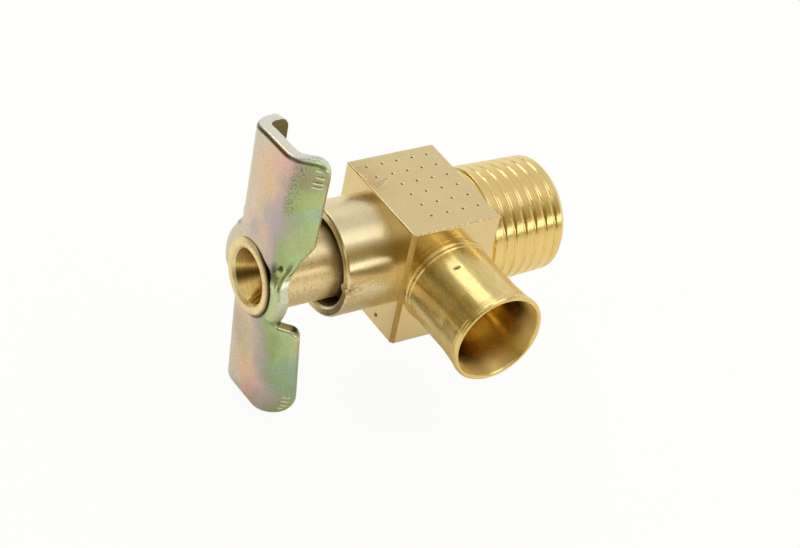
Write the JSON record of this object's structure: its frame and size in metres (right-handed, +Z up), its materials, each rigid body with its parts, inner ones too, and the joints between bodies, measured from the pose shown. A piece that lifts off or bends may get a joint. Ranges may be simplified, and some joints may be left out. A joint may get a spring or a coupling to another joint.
{
  "type": "drain cock",
  "caption": "Brass drain cock with a tapered pipe thread inlet, square block, side hose spout and a screw stem turned by a pressed wing handle.",
  "frame": {"origin": "on the axis of the inlet thread, at the shoulder where the thread leaves the block", "axes": "+X along the inlet thread and out of it, -Y along the spout and out of it, +Z up, with the handle at the -X end"},
  "size_m": [0.0378, 0.0253, 0.0336],
  "materials": {
    "body_brass": "bright machined brass with fine turning lines, jaw dents and a few nicks",
    "stem_brass": "turned brass, slightly duller, with fine speckle",
    "zinc_steel": "zinc plate with yellow chromate, iridescent tan, pink, mauve and green"
  },
  "bodies": {
    "valve_body": {"body": "body_brass"},
    "stem": {"stem": "stem_brass"},
    "handle": {"handle": "zinc_steel"}
  },
  "joints": [
    {"name": "stem_travel", "type": "slide", "parent": "valve_body", "child": "stem", "axis": [1, 0, 0], "range_m": [-0.00132, 0.00198]},
    {"name": "handle_turn", "type": "hinge", "parent": "stem", "child": "handle", "pos_m": [-0.0252, 0, 0], "axis": [1, 0, 0], "range_deg": [-360, 540]}
  ],
  "couplings": [
    {"joint": "stem_travel", "follows": "handle_turn", "m_per_rad": 0.00020213}
  ]
}
